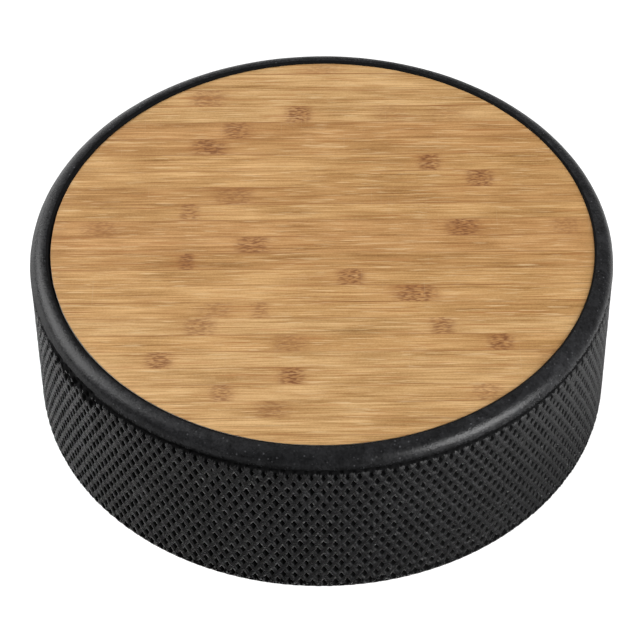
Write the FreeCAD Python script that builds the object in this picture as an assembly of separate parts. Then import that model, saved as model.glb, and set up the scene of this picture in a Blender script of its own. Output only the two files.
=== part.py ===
import FreeCAD, Part
import math
import os

# Ice hockey puck with a bamboo-look face, in millimetres.
#
# The puck is one solid rubber moulding. Its side is a band of diamond knurling between two rounded
# rims, and a narrow moulding groove undercuts each rim. The top face is a shallow recess, which holds
# a thin printed disc on a film of adhesive. Nothing on the puck moves.
#
# Origin: centre of the bottom face. +Z: the puck's axis, towards the printed face.
# +X: along the grain of the printed bamboo.

# Driving dimensions.
PUCK_DIAMETER = 76.2            # 3 in, the regulation diameter
PUCK_THICKNESS = 25.4           # 1 in, the regulation thickness
TOP_RIM_RADIUS = 2.15           # rounding of the rim around the printed face
TOP_RIM_HEIGHT = 2.05           # from the crest of that rim down to its groove
BOTTOM_RIM_RADIUS = 1.6         # rounding of the rim around the bottom face
BOTTOM_RIM_HEIGHT = 1.5         # from the bottom face up to the groove over it
GROOVE_HEIGHT = 0.3             # mouth of the groove between a rim and the knurling
GROOVE_DEPTH = 0.85
PITS_AROUND = 162               # knurl pits in one ring
PIT_ROWS = 17                   # rows of pits between the two rims
PIT_DEPTH = 0.7
DISC_SETBACK = 0.3              # printed face below the crest of the rim
DISC_THICKNESS = 0.4
DISC_CLEARANCE = 0.2            # gap around the disc
DISC_EDGE_RADIUS = 0.08
FILM_THICKNESS = 0.1
FILM_INSET = 0.25               # adhesive stops this short of the disc's edge
RECESS_EDGE_RADIUS = 0.3        # rounding of the recess's wall into the rim

# Sizes that follow from them.
PUCK_RADIUS = PUCK_DIAMETER / 2
CREST_RADIUS = PUCK_RADIUS - TOP_RIM_RADIUS
RECESS_RADIUS = CREST_RADIUS - RECESS_EDGE_RADIUS
DISC_RADIUS = RECESS_RADIUS - DISC_CLEARANCE
FILM_RADIUS = DISC_RADIUS - FILM_INSET
GROOVE_RADIUS = PUCK_RADIUS - GROOVE_DEPTH

BAND_BOTTOM = BOTTOM_RIM_HEIGHT + GROOVE_HEIGHT
BAND_TOP = PUCK_THICKNESS - TOP_RIM_HEIGHT - GROOVE_HEIGHT
ROW_HEIGHT = (BAND_TOP - BAND_BOTTOM) / PIT_ROWS
HALF_PITCH_ANGLE = math.pi / PITS_AROUND

DISC_TOP = PUCK_THICKNESS - DISC_SETBACK
DISC_BOTTOM = DISC_TOP - DISC_THICKNESS
RECESS_FLOOR = DISC_BOTTOM - FILM_THICKNESS

AXIS_START = FreeCAD.Vector(0, 0, 0)
AXIS = FreeCAD.Vector(0, 0, 1)


def section_point(radius, z):
    """A point of a section, in the plane that is turned about the axis."""
    return FreeCAD.Vector(radius, 0, z)


def line(start, end):
    return Part.LineSegment(start, end).toShape()


def arc(centre, radius, start_angle, end_angle):
    """An arc of a section. Angles are in radians, from +X towards +Z."""

    def on_arc(angle):
        return centre + section_point(radius * math.cos(angle), radius * math.sin(angle))

    middle_angle = (start_angle + end_angle) / 2
    return Part.Arc(on_arc(start_angle), on_arc(middle_angle), on_arc(end_angle)).toShape()


def end_of(edge):
    return edge.valueAt(edge.LastParameter)


def turned(edges):
    """The surfaces that a section sweeps once around the axis."""
    return Part.Wire(edges).revolve(AXIS_START, AXIS, 360).Faces


def top_surfaces():
    """Recess, top rim and the groove under it, from the axis outwards."""
    rim_end_angle = math.asin(1 - TOP_RIM_HEIGHT / TOP_RIM_RADIUS)
    recess_corner = section_point(RECESS_RADIUS, RECESS_FLOOR)
    recess_lip = section_point(RECESS_RADIUS, PUCK_THICKNESS - RECESS_EDGE_RADIUS)
    lip_centre = section_point(CREST_RADIUS, PUCK_THICKNESS - RECESS_EDGE_RADIUS)
    rim_centre = section_point(CREST_RADIUS, PUCK_THICKNESS - TOP_RIM_RADIUS)
    lip = arc(lip_centre, RECESS_EDGE_RADIUS, math.pi, math.pi / 2)
    rim = arc(rim_centre, TOP_RIM_RADIUS, math.pi / 2, rim_end_angle)
    groove_root = section_point(GROOVE_RADIUS, BAND_TOP + GROOVE_HEIGHT)
    return turned([
        line(section_point(0, RECESS_FLOOR), recess_corner),
        line(recess_corner, recess_lip),
        lip,
        rim,
        line(end_of(rim), groove_root),
        line(groove_root, section_point(GROOVE_RADIUS, BAND_TOP)),
    ])


def bottom_surfaces():
    """The groove over the bottom rim, the rim and the bottom face, from the groove inwards."""
    rim_end_angle = math.asin(1 - BOTTOM_RIM_HEIGHT / BOTTOM_RIM_RADIUS)
    rim_centre = section_point(PUCK_RADIUS - BOTTOM_RIM_RADIUS, BOTTOM_RIM_RADIUS)
    groove_root = section_point(GROOVE_RADIUS, BAND_BOTTOM - GROOVE_HEIGHT)
    rim = arc(rim_centre, BOTTOM_RIM_RADIUS, -rim_end_angle, -math.pi / 2)
    return turned([
        line(section_point(GROOVE_RADIUS, BAND_BOTTOM), groove_root),
        line(groove_root, rim.valueAt(rim.FirstParameter)),
        rim,
        line(end_of(rim), AXIS_START),
    ])


def knurl_point(step, level):
    """A point of the knurling's lattice, at a half pitch around and a row up.

    Ridges cross at the lattice points where step + level is even, on the puck's full radius. The
    points between them are the deepest points of the pits.
    """
    is_crossing = (step + level) % 2 == 0
    radius = PUCK_RADIUS if is_crossing else PUCK_RADIUS - PIT_DEPTH
    angle = step % (2 * PITS_AROUND) * HALF_PITCH_ANGLE
    z = BAND_BOTTOM + level * ROW_HEIGHT
    return FreeCAD.Vector(radius * math.cos(angle), radius * math.sin(angle), z)


def facet(corners):
    return Part.Face(Part.makePolygon(corners + corners[:1]))


def knurl_facets():
    """Two flat facets for each lattice square, which meet at the ridge along its diagonal."""
    facets = []
    for level in range(PIT_ROWS):
        for step in range(2 * PITS_AROUND):
            low_left = knurl_point(step, level)
            low_right = knurl_point(step + 1, level)
            high_left = knurl_point(step, level + 1)
            high_right = knurl_point(step + 1, level + 1)
            if (step + level) % 2 == 0:
                facets.append(facet([low_left, low_right, high_right]))
                facets.append(facet([low_left, high_right, high_left]))
            else:
                facets.append(facet([low_left, low_right, high_left]))
                facets.append(facet([low_right, high_right, high_left]))
    return facets


def knurl_end(level):
    """The flat ring that closes the knurling at one of its ends, out from the groove's wall."""
    corners = [knurl_point(step, level) for step in range(2 * PITS_AROUND)]
    outline = Part.makePolygon(corners + corners[:1])
    z = BAND_BOTTOM + level * ROW_HEIGHT
    hole = Part.Wire(Part.makeCircle(GROOVE_RADIUS, FreeCAD.Vector(0, 0, z), AXIS))
    hole.reverse()
    return Part.Face([outline, hole])


def make_puck_body():
    """The rubber moulding, closed from its turned surfaces and its knurling."""
    faces = top_surfaces() + bottom_surfaces() + knurl_facets()
    faces += [knurl_end(0), knurl_end(PIT_ROWS)]
    shell = Part.makeShell(faces)
    shell.sewShape()
    body = Part.Solid(shell.Shells[0])
    if body.Volume < 0:
        body.reverse()
    return body


def make_face_disc():
    """The printed disc, with its upper edge eased."""
    base = FreeCAD.Vector(0, 0, DISC_BOTTOM)
    disc = Part.makeCylinder(DISC_RADIUS, DISC_THICKNESS, base, AXIS)
    upper_edges = [edge for edge in disc.Edges if edge.BoundBox.ZMin > DISC_TOP - DISC_EDGE_RADIUS]
    return disc.makeFillet(DISC_EDGE_RADIUS, upper_edges)


def make_adhesive_film():
    """The film that holds the disc on the floor of the recess."""
    base = FreeCAD.Vector(0, 0, RECESS_FLOOR)
    return Part.makeCylinder(FILM_RADIUS, FILM_THICKNESS, base, AXIS)


PARTS = {
    "puck_body": make_puck_body,
    "face_disc": make_face_disc,
    "adhesive_film": make_adhesive_film,
}


def main():
    os.makedirs("parts", exist_ok=True)
    for name, make in PARTS.items():
        shape = make()
        shape.exportStep(f"parts/{name}.step")
        print(f"{name}: valid {shape.isValid()}, {len(shape.Solids)} solid, {shape.Volume:.1f} mm3")


main()
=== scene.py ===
import math

import bpy
import numpy as np
from mathutils import Matrix, Vector, noise


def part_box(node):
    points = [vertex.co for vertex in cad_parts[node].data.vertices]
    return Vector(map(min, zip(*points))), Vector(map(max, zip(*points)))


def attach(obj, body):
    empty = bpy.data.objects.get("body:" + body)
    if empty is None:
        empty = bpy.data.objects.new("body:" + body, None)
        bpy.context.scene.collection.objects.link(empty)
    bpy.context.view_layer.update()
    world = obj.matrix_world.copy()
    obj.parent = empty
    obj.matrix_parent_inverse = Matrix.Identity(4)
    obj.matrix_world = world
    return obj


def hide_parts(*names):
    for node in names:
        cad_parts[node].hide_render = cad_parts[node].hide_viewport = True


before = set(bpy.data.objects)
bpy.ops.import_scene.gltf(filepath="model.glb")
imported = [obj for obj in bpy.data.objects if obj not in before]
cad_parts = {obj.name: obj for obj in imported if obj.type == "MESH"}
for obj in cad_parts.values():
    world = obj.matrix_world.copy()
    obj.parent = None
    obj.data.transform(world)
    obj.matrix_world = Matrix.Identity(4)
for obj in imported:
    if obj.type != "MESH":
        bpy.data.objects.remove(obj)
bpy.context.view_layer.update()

# Ice hockey puck with a bamboo-look face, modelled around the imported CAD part, in metres.
#
# The rubber body is one closed mesh whose knurling, rims and groove are real geometry. The printed
# disc is a thin mesh of its own. The adhesive film under it is the CAD solid.
#
# X points right and Y away from the camera. Angles round the puck start at +X and grow towards +Y.

MM = 0.001

# Sizes read from the frame.
PUCK_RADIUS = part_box("puck_body")[1].x
PUCK_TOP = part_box("puck_body")[1].z
DISC_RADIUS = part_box("face_disc")[1].x
DISC_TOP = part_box("face_disc")[1].z
DISC_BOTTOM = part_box("face_disc")[0].z
RECESS_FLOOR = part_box("adhesive_film")[0].z

# The body's section, as in the CAD part down to the knurled band.
TOP_RIM_RADIUS = 2.15 * MM
TOP_RIM_HEIGHT = 2.05 * MM
BOTTOM_RIM_RADIUS = 1.6 * MM
BOTTOM_RIM_HEIGHT = 1.5 * MM
GROOVE_HEIGHT = 0.3 * MM
GROOVE_DEPTH = 0.85 * MM
RECESS_EDGE_RADIUS = 0.3 * MM
PITS_AROUND = 162
PIT_ROWS = 17
PIT_DEPTH = 0.7 * MM

CREST_RADIUS = PUCK_RADIUS - TOP_RIM_RADIUS
RECESS_RADIUS = CREST_RADIUS - RECESS_EDGE_RADIUS
GROOVE_RADIUS = PUCK_RADIUS - GROOVE_DEPTH
BAND_BOTTOM = BOTTOM_RIM_HEIGHT + GROOVE_HEIGHT
BAND_TOP = PUCK_TOP - TOP_RIM_HEIGHT - GROOVE_HEIGHT
GROOVE_TOP = BAND_TOP + GROOVE_HEIGHT
ROW_HEIGHT = (BAND_TOP - BAND_BOTTOM) / PIT_ROWS
HALF_PITCH_ANGLE = math.pi / PITS_AROUND

# Its foot: here the pits run on down over the lower rim, where the CAD part has a second groove.
FOOT_ROWS = 1
FOOT = BAND_BOTTOM - FOOT_ROWS * ROW_HEIGHT
RIM_CENTRE = PUCK_RADIUS - BOTTOM_RIM_RADIUS

# Details of the section.
LIP_BEVEL = 0.08 * MM           # of the rim's lower corner, at the groove
GROOVE_SLOPE = 0.2              # share of the groove's height that its roof slopes over
EDGE_POINTS = 6                 # on the rounding of the recess's edge
RIM_POINTS = 17                 # on the top rim
WALL_ROWS = slice(0, 2)         # of the grid: the wall of the recess
EDGE_ROWS = slice(2, 2 + EDGE_POINTS)

# The knurling. Each pit's mesh has steps at these shares of the way from its centre to the ridges
# round it, and they lie at these shares of its depth.
STEPS_PER_CELL = 3              # mesh steps across half a pitch, and up one row
COLUMNS = 2 * PITS_AROUND * STEPS_PER_CELL
PIT_SHARES = [0.0, 0.28, 0.5, 1.0]
PIT_DEPTHS = [1.0, 0.95, 0.12, 0.0]
DEPTH_SPREAD = (0.1, 0.75, 1.15)    # of the pits: standard deviation, least and most, as shares
WIDTH_SPREAD = (0.07, 0.8, 1.2)
SHALLOW_PITS = 0.02             # share of the pits that came out of the mould half filled
SHALLOW_DEPTHS = (0.35, 0.75)   # least and most of their depth that is left, as shares
SHALLOW_WIDTHS = (0.7, 0.95)
SHALLOW_CLUSTER = 4 * MM        # size of the places where such pits are commoner
RIDGE_WEAR = 0.03 * MM          # typical random wear of the knurling

# Unevenness of the moulding.
SKIN_DENT = 0.035 * MM          # typical depth of the skin's dents
WIDE_DENTS = 5 * MM             # their size
SMALL_DENTS = 0.9 * MM
LIP_WANDER = 0.12 * MM          # of the groove's height, up and down
WANDER_LENGTH = 1.1 * MM
LIP_ROWS = {-5: 0.5, -4: 1.0, -3: 0.8, 0: -0.6}     # its share by row, from the band's top row
HEAD_ROUNDING = 0.45 * MM       # of the ridges' ends, at the groove
HEAD_WEAR = (0.5, 0.9)          # least and most of the rounding that lowers an end, as shares
CRUMB_SHARE = 0.1               # of the ridges' ends that keep a crumb of flash
BRIDGE_SHARE = 0.85             # of the groove's depth that a bridge of flash can fill
BRIDGE_LENGTH = 0.9 * MM
TEAR_ANGLE = math.radians(214)  # the flash is torn here, at the front left
TEAR_WIDTH = math.radians(8)
TEAR_DEPTH = 0.5 * MM
TEAR_LENGTH = 0.8 * MM          # of its ragged bits
TEAR_ROWS = slice(-5, 2 * STEPS_PER_CELL)           # from the band's top row
FLASH_CLEARANCE = 0.015 * MM    # of the thin flash that fills the gap round the disc
FLASH_SETBACK = 0.05 * MM       # below the disc's top
FLASH_RISE = 0.26 * MM          # the flash stands higher along the back
GAP_ANGLE = math.radians(188)   # the gap is open here
GAP_WIDTH = math.radians(22)
GAP_DEPTH = 0.45 * MM

# The body's finishes, in the order of its material slots, and where the rubber is matt and near black
# as painted shade.
SATIN, DUSTY, MATT_SHADE = range(3)
MATT_SHADE_DEPTH = 0.16 * MM          # anything deeper in the knurling is matt and near black, painted shade
MATT_SHADE_FADE = 1.7 * MM            # the knurling turns matt and near black, painted shade, over this height towards its foot
LIP_SHADE_FADE = 0.5 * MM             # the rim turns matt and near black, painted shade, over this height towards its groove
TORN_SHADE_SHARE = 0.8                # share of the torn faces that are matt and near black, painted shade
GAP_SHADE_EDGE = 0.03 * MM            # the rim's inner side is matt and near black, painted shade, from this far below the crest
SPECK_SPACING = 0.55            # of the dust, in millimetres
SPECK_PALENESS = 3              # of the dust, in times the pale rubber's
SPECK_ROUGHNESS = 0.3           # that the dust adds to the rubber's own
ROUGHNESS_SWING = 0.02          # of the rubber's roughness, up and down
DARK_SHARE = 0.1                # tone of the rubber's darkest parts, as a share of its palest
SHEEN_ROUGHNESS = 0.15

# The printed disc.
DISC_EDGE_RADIUS = 0.08 * MM
DISC_OFF_CENTRE = 0.16 * MM     # the print was cut this far off its centre, to the right
OFF_CENTRE_ANGLE = math.radians(15)
DISC_COLUMNS = 720
CUT_WANDER = 0.03 * MM          # unevenness of its cut edge
CUT_LENGTH = 2.5 * MM
SHARP_ANGLE = math.radians(50)  # its corners look sharp above this

# Bamboo strips of the print: their seams are lines of whole strip numbers.
STRIP_WIDTH = 3.06              # in millimetres
STRIP_ORIGIN = 1.0              # y of the seam between strips -1 and 0, in millimetres
STRIP_NARROWING = 0.00055       # the strips grow a little wider away from the viewer
FIRST_STRIP = -13
STRIP_TONES = "ppppphphhhuaahuhhuapppp"     # from the strip nearest the viewer

# Tones of the print, in linear light.
TONES = {
    "p": (0.520, 0.304, 0.120, 1),
    "h": (0.505, 0.283, 0.105, 1),
    "a": (0.480, 0.256, 0.094, 1),
    "u": (0.448, 0.239, 0.084, 1),
}
DARK_FIBRE = (0.38, 0.155, 0.045, 1)
PALE_FIBRE = (0.78, 0.56, 0.31, 1)
SEAM = (0.28, 0.12, 0.036, 1)
STAIN = (0.40, 0.17, 0.05, 1)
MARK = (0.21, 0.08, 0.026, 1)
SCRATCH = (0.6, 0.45, 0.27, 1)

# Node marks on the bamboo: strip number, x and half length in millimetres, and darkness.
MARKS = [
    (10, 0.5, 3.0, 0.35),
    (8, -15.5, 2.5, 0.6),
    (7, -3.0, 1.8, 0.9),
    (7, 9.5, 2.5, 0.25),
    (7, 17.5, 3.0, 0.25),
    (6, -11.3, 2.0, 0.8),
    (5, -15.0, 2.4, 0.9),
    (4, 14.5, 1.5, 0.95),
    (3, 21.2, 1.8, 1.0),
    (2, -11.5, 2.6, 0.55),
    (1, -17.3, 1.3, 0.7),
    (0, -29.0, 2.4, 0.45),
    (0, 18.6, 2.2, 1.0),
    (0, 32.0, 2.0, 0.4),
    (-1, -9.0, 2.2, 0.85),
    (-2, -17.5, 1.0, 0.9),
    (-3, 3.7, 1.8, 0.9),
    (-4, 12.0, 2.8, 0.9),
    (-5, -8.0, 1.2, 0.5),
    (-5, -13.5, 2.2, 0.4),
    (-6, -15.5, 2.1, 0.6),
    (-6, 15.2, 1.6, 0.75),
    (-7, -4.0, 2.2, 0.45),
    (-7, 22.5, 1.6, 0.95),
    (-8, -20.5, 1.7, 0.8),
    (-8, 29.0, 2.0, 0.35),
    (-9, -3.8, 1.6, 0.95),
    (-10, -12.5, 1.5, 0.65),
    (-10, 20.5, 2.0, 0.5),
    (-11, -6.3, 2.1, 0.5),
]
MARK_FADE = 1.1                 # how soon a mark fades across its strip
MARK_REST = 0.35                # what is left of a mark at its half length, as a share

# The stage. The camera looks down at the puck from the front.
FLOOR_HALF = 4.0                # in metres, as is the softboxes' distance
SOFTBOX_DISTANCE = 1.0
CAMERA_DISTANCE = 371.2 * MM
CAMERA_ELEVATION = 45.68        # in degrees
CAMERA_DIP = 0.29               # it aims this far below the puck's middle, in degrees
CAMERA_ROLL = 0.44              # in degrees, clockwise
CAMERA_LENS = 155.23            # in millimetres
CAMERA_SENSOR = 36              # its width, in millimetres

random = np.random.default_rng(11)


# Mesh helpers

def skin_noise(angle, z, size, seed):
    """Smooth noise from about -1 to 1 over the puck's skin, with features of that size."""
    angle, z = np.broadcast_arrays(angle, z)
    offset = Vector((seed * 7.3, seed * 3.1, seed * 5.7))
    values = np.empty(angle.shape)
    for index in np.ndindex(angle.shape):
        a = angle[index]
        place = Vector((PUCK_RADIUS * math.cos(a), PUCK_RADIUS * math.sin(a), z[index]))
        values[index] = noise.noise(place / size + offset)
    return values


def nearness(angle, middle, width):
    """1 at the middle angle, falling smoothly to 0 away from it."""
    return np.exp(-(((angle - middle) / width) ** 2))


def closed_mesh(name, angle, radius, z, rising):
    """A closed mesh from rings of points, from the middle of the top, out, down and back in.

    rising tells, for each cell of the grid, whether its diagonal rises to the right.
    """
    rows, columns = radius.shape
    points = np.stack([radius * np.cos(angle), radius * np.sin(angle), z], axis=-1)
    top_centre = rows * columns
    bottom_centre = top_centre + 1
    vertices = np.concatenate([
        points.reshape(-1, 3),
        [[0, 0, z[0].mean()], [0, 0, z[-1].mean()]],
    ])
    ids = np.arange(rows * columns).reshape(rows, columns)
    right = np.roll(ids, -1, axis=1)
    high_left, high_right = ids[:-1], right[:-1]
    low_left, low_right = ids[1:], right[1:]
    triangles = np.concatenate([
        np.stack([high_left, low_left, high_right], -1)[rising],
        np.stack([low_left, low_right, high_right], -1)[rising],
        np.stack([high_left, low_left, low_right], -1)[~rising],
        np.stack([high_left, low_right, high_right], -1)[~rising],
        np.stack([np.full(columns, top_centre), ids[0], right[0]], -1),
        np.stack([np.full(columns, bottom_centre), right[-1], ids[-1]], -1),
    ])
    mesh = bpy.data.meshes.new(name)
    mesh.from_pydata(vertices.tolist(), [], triangles.tolist())
    mesh.shade_smooth()
    piece = bpy.data.objects.new(name, mesh)
    bpy.context.scene.collection.objects.link(piece)
    return piece


def arc_points(centre_radius, centre_z, radius, start, end, count):
    """Section points (radius, z) on an arc, with angles in degrees up from the horizontal."""
    angles = np.radians(np.linspace(start, end, count))
    return [
        (centre_radius + radius * math.cos(a), centre_z + radius * math.sin(a)) for a in angles
    ]


def rings(section, columns):
    """Radius and z of each point of a section, repeated all the way round."""
    radius, z = np.array(section).T
    return np.repeat(radius[:, None], columns, 1), np.repeat(z[:, None], columns, 1)


def pressed_in(radius, z, depth):
    """The grid's points moved into the body, square to its section, by depth."""
    along_radius = np.gradient(radius, axis=0)
    along_z = np.gradient(z, axis=0)
    length = np.hypot(along_radius, along_z)
    return radius + depth * along_z / length, z - depth * along_radius / length


# Rubber body

def upper_section():
    """Recess, top rim and the groove under it."""
    rim_end = math.degrees(math.asin(1 - TOP_RIM_HEIGHT / TOP_RIM_RADIUS))
    edge_z = PUCK_TOP - RECESS_EDGE_RADIUS
    rim_z = PUCK_TOP - TOP_RIM_RADIUS
    return [
        (RECESS_RADIUS, RECESS_FLOOR),
        (RECESS_RADIUS, DISC_TOP),
        *arc_points(CREST_RADIUS, edge_z, RECESS_EDGE_RADIUS, 180, 90, EDGE_POINTS),
        *arc_points(CREST_RADIUS, rim_z, TOP_RIM_RADIUS, 90, rim_end, RIM_POINTS)[1:],
        (PUCK_RADIUS - LIP_BEVEL, GROOVE_TOP - LIP_BEVEL / 3),
        (GROOVE_RADIUS, BAND_TOP + (1 - GROOVE_SLOPE) * GROOVE_HEIGHT),
        (GROOVE_RADIUS, BAND_TOP - GROOVE_HEIGHT),
    ]


def lower_section():
    """The lower rim, from the foot of the knurling, and the bottom face."""
    foot_angle = -math.degrees(math.asin(1 - FOOT / BOTTOM_RIM_RADIUS))
    return [
        *arc_points(RIM_CENTRE, BOTTOM_RIM_RADIUS, BOTTOM_RIM_RADIUS, foot_angle, -90, 8)[1:],
        (0.8 * RIM_CENTRE, 0.0),
        (0.4 * RIM_CENTRE, 0.0),
    ]


def land_radius(z):
    """Radius of the ridges' crests, which is less where they run over the lower rim."""
    below = np.clip(BOTTOM_RIM_RADIUS - z, 0, BOTTOM_RIM_RADIUS)
    return RIM_CENTRE + np.sqrt(BOTTOM_RIM_RADIUS**2 - below**2)


def spread(shape, deviation, least, most):
    """Random shares around 1."""
    return np.clip(random.normal(1, deviation, shape), least, most)


def pit_sizes():
    """Depth and width of each pit, as shares of the drawn ones. Some are partly filled."""
    shape = (2 * PITS_AROUND, PIT_ROWS + 1)
    depth = spread(shape, *DEPTH_SPREAD)
    width = spread(shape, *WIDTH_SPREAD)
    step, level = np.meshgrid(np.arange(shape[0]), np.arange(shape[1]), indexing="ij")
    height = BAND_BOTTOM + level * ROW_HEIGHT
    cluster = skin_noise(step * HALF_PITCH_ANGLE, height, SHALLOW_CLUSTER, 1)
    filled = random.random(shape) < SHALLOW_PITS * (1 + 4 * np.clip(cluster, 0, 1))
    depth[filled] *= random.uniform(*SHALLOW_DEPTHS, filled.sum())
    width[filled] *= random.uniform(*SHALLOW_WIDTHS, filled.sum())
    return depth, width


def knurl_grid():
    """Angle, radius, z and diagonals of the knurled band, from its top row down.

    Ridges run along the lattice lines of even numbers, and a pit sits in each square between them.
    """
    band_rows = (PIT_ROWS + FOOT_ROWS) * STEPS_PER_CELL + 1
    across, up = np.meshgrid(
        np.arange(COLUMNS) / STEPS_PER_CELL,
        np.arange(band_rows)[::-1] / STEPS_PER_CELL - FOOT_ROWS,
    )
    rising_pit = 2 * np.floor((across + up) / 2) + 1
    falling_pit = 2 * np.floor((across - up) / 2) + 1
    pit_across = (rising_pit + falling_pit) / 2
    pit_up = (rising_pit - falling_pit) / 2
    share = np.maximum(abs(across + up - rising_pit), abs(across - up - falling_pit))
    drawn_shares = np.linspace(0, 1, STEPS_PER_CELL + 1)

    depths, widths = pit_sizes()
    pit = (
        pit_across.astype(int) % (2 * PITS_AROUND),
        np.clip(pit_up, 0, PIT_ROWS).astype(int),
    )
    moved_share = np.interp(share, drawn_shares, PIT_SHARES)
    inner = share < 0.99        # all but the ridges' own points
    moved_share[inner] *= widths[pit][inner]
    stretch = moved_share / np.maximum(share, 0.01)
    angle = (pit_across + (across - pit_across) * stretch) * HALF_PITCH_ANGLE
    z = BAND_BOTTOM + (pit_up + (up - pit_up) * stretch) * ROW_HEIGHT
    depth = PIT_DEPTH * np.interp(share, drawn_shares, PIT_DEPTHS)
    depth[inner] *= depths[pit][inner]
    depth += np.abs(random.normal(0, RIDGE_WEAR, depth.shape))

    cell_across = np.floor(across[1:] + 0.01)
    cell_up = np.floor(up[1:] + 0.01)
    rising = (cell_across + cell_up) % 2 == 0
    return angle, land_radius(z) - depth, z, rising


def disc_reach(angle):
    """How much farther than its radius the off-centre disc reaches."""
    return DISC_OFF_CENTRE * np.cos(angle - OFF_CENTRE_ANGLE)


def fit_recess(radius, z, column_angle):
    """Fills the gap round the disc with flash in the grid, except where the gap is open."""
    radius[WALL_ROWS] = DISC_RADIUS + disc_reach(column_angle) + FLASH_CLEARANCE
    behind = np.clip(2 * np.sin(column_angle), 0, 1)
    gap = nearness(column_angle, GAP_ANGLE, GAP_WIDTH)
    z[1] += behind * FLASH_RISE - FLASH_SETBACK - gap * GAP_DEPTH
    z[EDGE_ROWS] = np.maximum(z[EDGE_ROWS], z[1])


def roughen_groove(angle, radius, z, column_angle, top):
    """Makes the groove's lip and the ridges' ends uneven in the grid, whose band starts at row top."""
    tear = nearness(column_angle, TEAR_ANGLE, TEAR_WIDTH)
    wander = skin_noise(column_angle, BAND_TOP, WANDER_LENGTH, 2) * LIP_WANDER
    for row, share in LIP_ROWS.items():
        z[top + row] += share * wander * (1 + 2 * tear)

    crumbs = random.random(COLUMNS) < CRUMB_SHARE
    radius[top] -= np.where(crumbs, 0.0, HEAD_ROUNDING)
    radius[top + 1] -= HEAD_ROUNDING / 3
    z[top] -= HEAD_ROUNDING * random.uniform(*HEAD_WEAR, COLUMNS)
    z[top + 1] -= HEAD_ROUNDING / 3

    bridge = np.clip(3 * skin_noise(column_angle, BAND_TOP, BRIDGE_LENGTH, 3) - 1.4 + tear, 0, 1)
    radius[top - 2:top] += BRIDGE_SHARE * GROOVE_DEPTH * bridge

    torn = slice(top + TEAR_ROWS.start, top + TEAR_ROWS.stop)
    ragged = skin_noise(angle[torn], z[torn], TEAR_LENGTH, 7)
    radius[torn] -= TEAR_DEPTH * tear * np.clip(1.6 * ragged + 0.3, 0, 1)


def make_body():
    """The rubber moulding: recess, rims, groove, knurling and bottom face in one closed mesh."""
    upper_radius, upper_z = rings(upper_section(), COLUMNS)
    lower_radius, lower_z = rings(lower_section(), COLUMNS)
    band_angle, band_radius, band_z, band_rising = knurl_grid()
    column_angle = np.arange(COLUMNS) * HALF_PITCH_ANGLE / STEPS_PER_CELL
    upper_angle = np.repeat(column_angle[None], len(upper_radius), 0)
    lower_angle = np.repeat(column_angle[None], len(lower_radius), 0)

    angle = np.concatenate([upper_angle, band_angle, lower_angle])
    radius = np.concatenate([upper_radius, band_radius, lower_radius])
    z = np.concatenate([upper_z, band_z, lower_z])
    band_start = len(upper_radius)
    rising = np.zeros((len(radius) - 1, COLUMNS), bool)
    rising[band_start:band_start + len(band_rising)] = band_rising

    fit_recess(radius, z, column_angle)
    roughen_groove(angle, radius, z, column_angle, band_start)
    wide_dent = skin_noise(angle, z, WIDE_DENTS, 4)
    small_dent = skin_noise(angle, z, SMALL_DENTS, 5)
    dent = np.clip(0.5 + 0.5 * wide_dent + 0.35 * small_dent, 0, 2)
    radius, z = pressed_in(radius, z, SKIN_DENT * dent)
    radius = np.minimum(radius, PUCK_RADIUS)
    z = np.clip(z, 0, PUCK_TOP)
    return closed_mesh("puck_body_rubber", angle, radius, z, rising)


def finish_faces(body):
    """Gives each face of the body its finish.

    The rims are satin and the ridges dusty. The pits, the groove, the gap round the disc, the torn
    flash and the lower rim are matt, near black as painted shade, and so are some faces next to them,
    picked at random.
    """
    polygons = body.data.polygons
    centres = np.empty(3 * len(polygons))
    polygons.foreach_get("center", centres)
    x, y, z = centres.reshape(-1, 3).T
    depth = land_radius(z) - np.hypot(x, y)
    tear = nearness(np.arctan2(y, x) % (2 * math.pi), TEAR_ANGLE, TEAR_WIDTH)
    foot_chance, tear_chance, lip_chance = random.random((3, len(polygons)))

    in_band = (z > FOOT) & (z < BAND_TOP)
    above_band = z > BAND_TOP
    # Painted shade: near-black faces deep in the pits and the groove, on the ridges' ends and on the
    # rim beside the groove.
    shaded_hollow = (z > FOOT) & (z < GROOVE_TOP) & (depth > MATT_SHADE_DEPTH)
    # Painted shade: the rim's inner side round the disc is near black, as the shadowed gap.
    shaded_gap = above_band & (z < PUCK_TOP - GAP_SHADE_EDGE) & (depth > PUCK_RADIUS - CREST_RADIUS)
    shaded_head = in_band & (z > BAND_TOP - HEAD_ROUNDING)
    # Painted shade: many faces of the torn flash are near black.
    shaded_tear = in_band & (z > BAND_TOP - ROW_HEIGHT) & (tear_chance < TORN_SHADE_SHARE * tear)
    # Painted shade: ever more faces are near black towards the foot.
    shaded_foot = foot_chance > (z - FOOT) / MATT_SHADE_FADE
    shaded_lip = above_band & (lip_chance > (z - GROOVE_TOP) / LIP_SHADE_FADE)
    finish = np.full(len(polygons), SATIN)
    finish[in_band] = DUSTY
    # The near-black matt rubber on these faces is painted shade.
    finish[shaded_hollow | shaded_gap | shaded_head | shaded_tear | shaded_foot | shaded_lip] = MATT_SHADE
    polygons.foreach_set("material_index", finish)


# Printed disc

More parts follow.
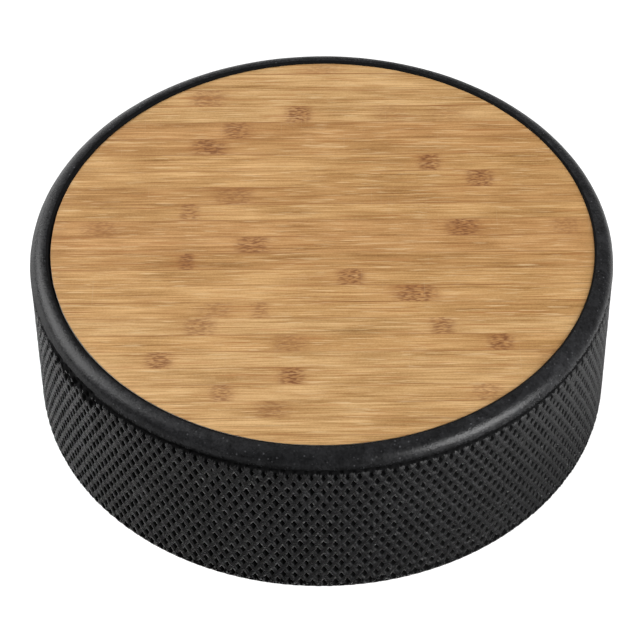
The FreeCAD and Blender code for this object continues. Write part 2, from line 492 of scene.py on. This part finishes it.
def make_disc():
    """The thin printed disc, with its upper edge eased and its cut edge slightly uneven."""
    edge_centre = DISC_RADIUS - DISC_EDGE_RADIUS
    face_shares = (0.2, 0.4, 0.6, 0.8, 0.95)
    section = [
        *[(share * edge_centre, DISC_TOP) for share in face_shares],
        *arc_points(edge_centre, DISC_TOP - DISC_EDGE_RADIUS, DISC_EDGE_RADIUS, 90, 0, 5),
        (DISC_RADIUS, DISC_BOTTOM),
        (0.5 * DISC_RADIUS, DISC_BOTTOM),
    ]
    radius, z = rings(section, DISC_COLUMNS)
    columns = np.arange(DISC_COLUMNS) * 2 * math.pi / DISC_COLUMNS
    angle = np.repeat(columns[None], len(section), 0)
    cut = CUT_WANDER * np.clip(0.5 + skin_noise(columns, DISC_TOP, CUT_LENGTH, 6), 0, 1)
    radius[len(face_shares):-1] += disc_reach(columns) - cut
    rising = np.zeros((len(section) - 1, DISC_COLUMNS), bool)
    disc = closed_mesh("face_disc_print", angle, radius, z, rising)
    disc.data.set_sharp_from_angle(angle=SHARP_ANGLE)
    return disc


# Material helpers

def new_material(name):
    """A material with its node tree and its Principled shader."""
    material = bpy.data.materials.new(name)
    material.use_nodes = True
    tree = material.node_tree
    shader = next(n for n in tree.nodes if n.type == "BSDF_PRINCIPLED")
    return material, tree, shader


def feed(tree, value, socket):
    """Sets a socket to a value, or links it to another socket."""
    if isinstance(value, bpy.types.NodeSocket):
        tree.links.new(value, socket)
    else:
        socket.default_value = value


def calc(tree, operation, *values, clamp=False):
    """The output of a Math node."""
    node = tree.nodes.new("ShaderNodeMath")
    node.operation = operation
    node.use_clamp = clamp
    for value, socket in zip(values, node.inputs):
        feed(tree, value, socket)
    return node.outputs[0]


def total(tree, first, *others):
    """The sum of numbers and sockets."""
    for other in others:
        first = calc(tree, "ADD", first, other)
    return first


def remap(tree, value, low, high, to_low=0.0, to_high=1.0):
    """Value taken from the range low to high to another range, and clamped to it."""
    node = tree.nodes.new("ShaderNodeMapRange")
    for number, socket in zip((value, low, high, to_low, to_high), node.inputs):
        feed(tree, number, socket)
    return node.outputs[0]


def grey(level):
    """A nearly neutral dark grey, with rubber's slight blue cast."""
    return (level, level * 1.01, level * 1.08, 1)


def mixed(tree, share, first, second, blend_type="MIX"):
    """Two colours mixed: first where share is 0, second where it is 1."""
    node = tree.nodes.new("ShaderNodeMix")
    node.data_type = "RGBA"
    node.blend_type = blend_type
    feed(tree, share, node.inputs[0])
    feed(tree, first, node.inputs[6])
    feed(tree, second, node.inputs[7])
    return node.outputs[2]


def vector_node(tree, operation, first, second):
    """A Vector Math node. Its second operand is a number for SCALE, and otherwise a vector."""
    node = tree.nodes.new("ShaderNodeVectorMath")
    node.operation = operation
    feed(tree, first, node.inputs[0])
    feed(tree, second, node.inputs["Scale" if operation == "SCALE" else 1])
    return node


def object_place(tree):
    """The point's own coordinates, in millimetres."""
    coordinates = tree.nodes.new("ShaderNodeTexCoord")
    return vector_node(tree, "SCALE", coordinates.outputs["Object"], 1 / MM).outputs[0]


def split(tree, vector):
    """The three parts of a vector or a colour."""
    node = tree.nodes.new("ShaderNodeSeparateXYZ")
    tree.links.new(vector, node.inputs[0])
    return node.outputs


def joined(tree, x, y, z=0.0):
    """A vector from its three parts."""
    node = tree.nodes.new("ShaderNodeCombineXYZ")
    for value, socket in zip((x, y, z), node.inputs):
        feed(tree, value, socket)
    return node.outputs[0]


def cloud(tree, place, size, detail=2.0, roughness=0.5):
    """Noise from 0 to 1 with features of that size, in the units of place."""
    node = tree.nodes.new("ShaderNodeTexNoise")
    tree.links.new(place, node.inputs["Vector"])
    node.inputs["Scale"].default_value = 1 / size
    node.inputs["Detail"].default_value = detail
    node.inputs["Roughness"].default_value = roughness
    return node.outputs[0]


def painted(tree, shader, tone, roughness, specular=0.5):
    """Sets the shader's colour, roughness and specular level."""
    feed(tree, tone, shader.inputs["Base Color"])
    feed(tree, roughness, shader.inputs["Roughness"])
    shader.inputs["Specular IOR Level"].default_value = specular


def bumped(tree, shader, height, depth, strength=1.0):
    """Raises the shader's surface by height, which is from 0 to 1, times depth in metres."""
    bump = tree.nodes.new("ShaderNodeBump")
    bump.inputs["Strength"].default_value = strength
    bump.inputs["Distance"].default_value = depth
    tree.links.new(height, bump.inputs["Height"])
    tree.links.new(bump.outputs[0], shader.inputs["Normal"])


# Materials. Sizes in them are in millimetres, unless they say otherwise.

def dust(tree, place, speck_size):
    """Specks of dust, from 0 to 1: one near some of the points of a loose lattice."""
    specks = tree.nodes.new("ShaderNodeTexVoronoi")
    tree.links.new(place, specks.inputs["Vector"])
    specks.inputs["Scale"].default_value = 1 / SPECK_SPACING
    near = remap(tree, specks.outputs["Distance"], speck_size / 3, speck_size, 1.0, 0.0)
    chosen = remap(tree, split(tree, specks.outputs["Color"])[0], 0.5, 1.0)
    return calc(tree, "MULTIPLY", near, chosen)


def rubber_material(name, pale, roughness, specular, sheen, grain_depth, speck_size):
    """Black vulcanised rubber: a skin uneven in tone, with fine grain and specks of dust.

    pale is the tone of its palest parts. grain_depth is in metres.
    """
    material, tree, shader = new_material(name)
    place = object_place(tree)
    grain = cloud(tree, place, 0.3, 3, 0.65)
    blotch = cloud(tree, place, 1.3, 3, 0.6)
    haze = cloud(tree, place, 9, 2)
    speck = dust(tree, place, speck_size)

    unevenness = total(
        tree,
        remap(tree, blotch, 0.3, 0.7, 0.0, 0.5),
        remap(tree, grain, 0.35, 0.7, 0.0, 0.5),
    )
    paleness = calc(tree, "MULTIPLY", unevenness, remap(tree, haze, 0.35, 0.65, 0.6, 1.2))
    tone = mixed(tree, paleness, grey(DARK_SHARE * pale), grey(pale))
    tone = mixed(tree, speck, tone, grey(SPECK_PALENESS * pale))
    rough = total(
        tree,
        remap(tree, blotch, 0.3, 0.7, roughness - ROUGHNESS_SWING, roughness + ROUGHNESS_SWING),
        calc(tree, "MULTIPLY", speck, SPECK_ROUGHNESS),
    )
    painted(tree, shader, tone, rough, specular)
    shader.inputs["Sheen Weight"].default_value = sheen
    shader.inputs["Sheen Roughness"].default_value = SHEEN_ROUGHNESS
    height = total(
        tree,
        calc(tree, "MULTIPLY", grain, 0.85),
        calc(tree, "MULTIPLY", blotch, 0.15),
    )
    bumped(tree, shader, height, grain_depth)
    return material


def matt_shade_rubber_material():
    """The rubber that the mould left matt, painted near black as shade: in the pits and the groove,
    and on the lower rim.
    """
    material, tree, shader = new_material("black_rubber_matt_shade")
    grain = cloud(tree, object_place(tree), 0.25, 3, 0.6)
    # Near-black tone: painted shade for the pits, the groove, the gap round the disc and the foot.
    tone = mixed(tree, remap(tree, grain, 0.3, 0.7), grey(0.0015), grey(0.006))
    painted(tree, shader, tone, 0.85, 0.1)
    bumped(tree, shader, grain, 0.04 * MM)
    return material


def add_marks(tree, x, strip, strip_number):
    """How strong the bamboo's node marks are at each point, and the warm stain along from them."""
    place = joined(tree, x, strip)
    core = 0.0
    stain = 0.0
    for number, centre, half_length, darkness in MARKS:
        away = vector_node(tree, "SUBTRACT", place, (centre, number + 0.5, 0)).outputs[0]
        scaled = vector_node(tree, "MULTIPLY", away, (1 / half_length, MARK_FADE, 0)).outputs[0]
        square = vector_node(tree, "DOT_PRODUCT", scaled, scaled).outputs["Value"]
        inside = calc(tree, "COMPARE", strip_number, float(number), 0.1)
        weight = calc(tree, "MULTIPLY", inside, darkness)
        sharp = calc(tree, "POWER", MARK_REST, calc(tree, "POWER", square, 2.0))
        soft = calc(tree, "POWER", MARK_REST, calc(tree, "MULTIPLY", square, 0.3))
        core = total(tree, calc(tree, "MULTIPLY", sharp, weight), core)
        stain = total(tree, calc(tree, "MULTIPLY", soft, weight), stain)
    return core, stain


def strip_count(tree, place, y):
    """How many strips there are from the origin's seam to each point. The seams sway a little."""
    sway = calc(tree, "MULTIPLY", calc(tree, "SUBTRACT", cloud(tree, place, 25, 1), 0.5), 0.5)
    off = calc(tree, "SUBTRACT", total(tree, y, sway), STRIP_ORIGIN)
    narrowing = calc(tree, "MULTIPLY", calc(tree, "POWER", off, 2.0), STRIP_NARROWING)
    return calc(tree, "SUBTRACT", calc(tree, "DIVIDE", off, STRIP_WIDTH), narrowing)


def strip_tone(tree, strip_number):
    """The colour of each bamboo strip."""
    ramp = tree.nodes.new("ShaderNodeValToRGB")
    ramp.color_ramp.interpolation = "CONSTANT"
    count = len(STRIP_TONES)
    elements = ramp.color_ramp.elements
    while len(elements) < count:
        elements.new(1.0)
    for index, tone in enumerate(STRIP_TONES):
        elements[index].position = index / count
        elements[index].color = TONES[tone]
    from_first = calc(tree, "SUBTRACT", strip_number, FIRST_STRIP + 0.5)
    tree.links.new(calc(tree, "DIVIDE", from_first, float(count)), ramp.inputs[0])
    return ramp.outputs[0]


def bamboo_material():
    """A matt print of laminated bamboo strips: fibres along X, seams, node marks and scratches."""
    material, tree, shader = new_material("printed_bamboo")
    place = object_place(tree)
    x, y, _ = split(tree, place)
    strip = strip_count(tree, place, y)
    strip_number = calc(tree, "FLOOR", strip)
    across = calc(tree, "SUBTRACT", strip, strip_number)

    # Each strip has its own grain, so its number shifts the noise along it.
    strip_x = total(tree, x, calc(tree, "MULTIPLY", strip_number, 43.7))
    layer = calc(tree, "MULTIPLY", strip_number, 3.7)

    def fibres(length, width, detail):
        """Noise drawn out along the strips."""
        along = calc(tree, "DIVIDE", strip_x, length)
        sideways = calc(tree, "DIVIDE", y, width)
        return cloud(tree, joined(tree, along, sideways, layer), 1.0, detail)

    patches = fibres(9.0, 3.5, 1)
    bands = fibres(40.0, 0.9, 1)
    streaks = fibres(14.0, 0.34, 1)
    hairs = fibres(6.0, 0.16, 2)
    grain = cloud(tree, place, 0.2, 1)
    gain = total(
        tree,
        remap(tree, patches, 0.3, 0.7, -0.2, 0.16),
        remap(tree, bands, 0.3, 0.7, -0.11, 0.11),
        remap(tree, streaks, 0.36, 0.62, -0.13, 0.1),
        remap(tree, hairs, 0.36, 0.62, -0.2, 0.18),
        remap(tree, grain, 0.3, 0.7, -0.08, 0.08),
        1.0,
    )
    red_gain = calc(tree, "POWER", gain, 0.8)
    blue_gain = calc(tree, "POWER", gain, 1.4)
    shade = joined(tree, red_gain, gain, blue_gain)
    tone = mixed(tree, 1.0, strip_tone(tree, strip_number), shade, "MULTIPLY")

    dark_streak = remap(tree, fibres(8.0, 0.17, 1), 0.6, 0.67, 0.0, 0.6)
    tone = mixed(tree, dark_streak, tone, DARK_FIBRE)
    pale_streak = remap(tree, fibres(4.0, 0.16, 1), 0.62, 0.69, 0.0, 0.5)
    tone = mixed(tree, pale_streak, tone, PALE_FIBRE)

    edge = calc(tree, "MINIMUM", across, calc(tree, "SUBTRACT", 1.0, across))
    seam_strength = remap(tree, fibres(14.0, 6.0, 2), 0.4, 0.62, 0.15, 0.85)
    seam = calc(tree, "MULTIPLY", remap(tree, edge, 0.015, 0.045, 1.0, 0.0), seam_strength)
    tone = mixed(tree, seam, tone, SEAM)

    core, stain = add_marks(tree, x, strip, strip_number)
    strokes = remap(tree, fibres(0.8, 0.2, 1), 0.42, 0.6, 0.12, 1.1)
    mark = calc(tree, "MULTIPLY", core, strokes, clamp=True)
    stained = calc(tree, "MULTIPLY", stain, remap(tree, streaks, 0.35, 0.6, 0.45, 0.15))
    stained = calc(tree, "ADD", stained, calc(tree, "MULTIPLY", core, 0.18), clamp=True)
    tone = mixed(tree, stained, tone, STAIN)
    tone = mixed(tree, mark, tone, MARK)

    scratch_place = joined(tree, calc(tree, "DIVIDE", x, 0.25), calc(tree, "DIVIDE", y, 14.0))
    scratch = remap(tree, cloud(tree, scratch_place, 1.0, 1), 0.72, 0.8, 0.0, 0.18)
    tone = mixed(tree, scratch, tone, SCRATCH)

    painted(tree, shader, tone, remap(tree, streaks, 0.2, 0.8, 0.5, 0.64), 0.3)
    bumped(tree, shader, total(tree, streaks, hairs), 0.008 * MM, 0.5)
    return material


def cut_edge_material():
    """The disc's cut edge, where the pale film under the print shows."""
    material, tree, shader = new_material("film_cut_edge")
    place = object_place(tree)
    tone = mixed(tree, cloud(tree, place, 0.5), (0.35, 0.33, 0.32, 1), (0.62, 0.6, 0.57, 1))
    painted(tree, shader, tone, 0.55)
    bumped(tree, shader, cloud(tree, place, 0.12), 0.02 * MM, 0.5)
    return material


def adhesive_material():
    """Soft translucent adhesive, slightly uneven."""
    material, tree, shader = new_material("adhesive")
    place = object_place(tree)
    tone = mixed(tree, cloud(tree, place, 2.5, 3), (0.62, 0.6, 0.53, 1), (0.8, 0.78, 0.71, 1))
    painted(tree, shader, tone, 0.35)
    shader.inputs["Subsurface Weight"].default_value = 0.3
    shader.inputs["Subsurface Scale"].default_value = 0.2 * MM
    bumped(tree, shader, cloud(tree, place, 0.6), 0.02 * MM, 0.4)
    return material


def floor_material():
    """A pale table top, white to the camera. It glows beside and behind the puck, and less in front.

    The rubber mirrors that glow, as it would mirror pale paper under soft light.
    """
    material, tree, shader = new_material("pale_floor")
    place = object_place(tree)
    x, y, _ = split(tree, place)
    tone = mixed(tree, cloud(tree, place, 40, 3), (0.12, 0.12, 0.12, 1), (0.15, 0.15, 0.15, 1))
    painted(tree, shader, tone, 0.8, 0.2)

    # Each part of the glow runs from one place to another, with its strength at both.
    back_left = total(tree, calc(tree, "MULTIPLY", y, 0.6), calc(tree, "MULTIPLY", x, -0.8))
    glow = total(
        tree,
        remap(tree, x, 36, 60, 0.0, 0.8),
        remap(tree, back_left, 60, 220, 0.0, 1.4),
        remap(tree, y, -220, -80, 0.15, 0.0),
        remap(tree, x, -60, -36, 0.35, 0.0),
        remap(tree, x, 60, 120, 0.0, -0.6),
    )
    camera_ray = tree.nodes.new("ShaderNodeLightPath").outputs["Is Camera Ray"]
    shader.inputs["Emission Color"].default_value = (1, 1, 1, 1)
    tree.links.new(total(tree, glow, camera_ray), shader.inputs["Emission Strength"])
    return material


# Stage

def make_floor():
    """The table top that the puck stands on."""
    mesh = bpy.data.meshes.new("floor")
    corners = [
        (-FLOOR_HALF, -FLOOR_HALF, 0),
        (FLOOR_HALF, -FLOOR_HALF, 0),
        (FLOOR_HALF, FLOOR_HALF, 0),
        (-FLOOR_HALF, FLOOR_HALF, 0),
    ]
    mesh.from_pydata(corners, [], [(0, 1, 2, 3)])
    floor = bpy.data.objects.new("floor", mesh)
    bpy.context.scene.collection.objects.link(floor)
    mesh.materials.append(floor_material())


def add_softbox(name, azimuth, elevation, width, height, power):
    """A rectangular light that faces the puck, with angles in degrees, sizes in metres and watts."""
    azimuth = math.radians(azimuth)
    elevation = math.radians(elevation)
    direction = Vector((
        math.cos(azimuth) * math.cos(elevation),
        math.sin(azimuth) * math.cos(elevation),
        math.sin(elevation),
    ))
    data = bpy.data.lights.new(name, "AREA")
    data.shape = "RECTANGLE"
    data.size = width
    data.size_y = height
    data.energy = power
    light = bpy.data.objects.new(name, data)
    light.rotation_euler = direction.to_track_quat("Z", "Y").to_euler()
    light.location = direction * SOFTBOX_DISTANCE + Vector((0, 0, PUCK_TOP / 2))
    light.visible_camera = False
    bpy.context.scene.collection.objects.link(light)


def add_world():
    """A pale room, brighter behind and overhead, with a plain pale backdrop for the camera."""
    world = bpy.data.worlds.new("room")
    bpy.context.scene.world = world
    world.use_nodes = True
    tree = world.node_tree
    room = next(n for n in tree.nodes if n.type == "BACKGROUND")
    output = next(n for n in tree.nodes if n.type == "OUTPUT_WORLD")
    direction = tree.nodes.new("ShaderNodeTexCoord").outputs["Generated"]
    _, behind, overhead = split(tree, direction)
    brightening = total(tree, calc(tree, "MULTIPLY", behind, 0.35), overhead)
    level = remap(tree, brightening, 0.1, 1.0, 0.07, 0.24)

    # The photographer stands between the room and the puck.
    towards_camera = calc(tree, "MULTIPLY", calc(tree, "SUBTRACT", overhead, behind), 0.7)
    level = calc(tree, "MULTIPLY", level, remap(tree, towards_camera, 0.86, 0.98, 1.0, 0.1))
    room.inputs["Color"].default_value = (1, 1, 1, 1)
    tree.links.new(level, room.inputs["Strength"])

    backdrop = tree.nodes.new("ShaderNodeBackground")
    backdrop.inputs["Color"].default_value = (0.93, 0.93, 0.93, 1)
    chooser = tree.nodes.new("ShaderNodeMixShader")
    camera_ray = tree.nodes.new("ShaderNodeLightPath").outputs["Is Camera Ray"]
    tree.links.new(camera_ray, chooser.inputs[0])
    tree.links.new(room.outputs[0], chooser.inputs[1])
    tree.links.new(backdrop.outputs[0], chooser.inputs[2])
    tree.links.new(chooser.outputs[0], output.inputs[0])


def add_camera():
    """A long lens looking down at the puck from the front."""
    elevation = math.radians(CAMERA_ELEVATION)
    tilt = Matrix.Rotation(math.radians(90 - CAMERA_ELEVATION - CAMERA_DIP), 4, "X")
    roll = Matrix.Rotation(math.radians(-CAMERA_ROLL), 4, "Z")
    data = bpy.data.cameras.new("camera")
    data.lens = CAMERA_LENS
    data.sensor_width = CAMERA_SENSOR
    data.clip_start = 10 * MM
    camera = bpy.data.objects.new("camera", data)
    place = Vector((
        0,
        -CAMERA_DISTANCE * math.cos(elevation),
        PUCK_TOP / 2 + CAMERA_DISTANCE * math.sin(elevation),
    ))
    camera.matrix_world = Matrix.Translation(place) @ tilt @ roll
    bpy.context.scene.collection.objects.link(camera)
    bpy.context.scene.camera = camera


# The puck

body = make_body()
body.data.materials.append(rubber_material(
    "black_rubber",
    pale=0.03,
    roughness=0.27,
    specular=0.21,
    sheen=0.0,
    grain_depth=0.05 * MM,
    speck_size=0.24,
))
body.data.materials.append(rubber_material(
    "black_rubber_dusty",
    pale=0.010,
    roughness=0.34,
    specular=0.47,
    sheen=0.95,
    grain_depth=0.22 * MM,
    speck_size=0.4,
))
body.data.materials.append(matt_shade_rubber_material())
finish_faces(body)
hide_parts("puck_body")
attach(body, "root")

disc = make_disc()
disc.data.materials.append(bamboo_material())
disc.data.materials.append(cut_edge_material())
for polygon in disc.data.polygons:
    is_printed = polygon.normal.z > 0.5
    polygon.material_index = 0 if is_printed else 1
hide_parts("face_disc")
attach(disc, "root")

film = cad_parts["adhesive_film"]
film.data.materials.clear()
film.data.materials.append(adhesive_material())

make_floor()
add_softbox("left_softbox", azimuth=156, elevation=36, width=0.8, height=0.72, power=11)
add_softbox("back_softbox", azimuth=118, elevation=16, width=0.6, height=0.45, power=0.85)
add_softbox("right_softbox", azimuth=324, elevation=17, width=0.65, height=0.5, power=15)
add_world()
add_camera()
bpy.context.scene.view_settings.view_transform = "Standard"
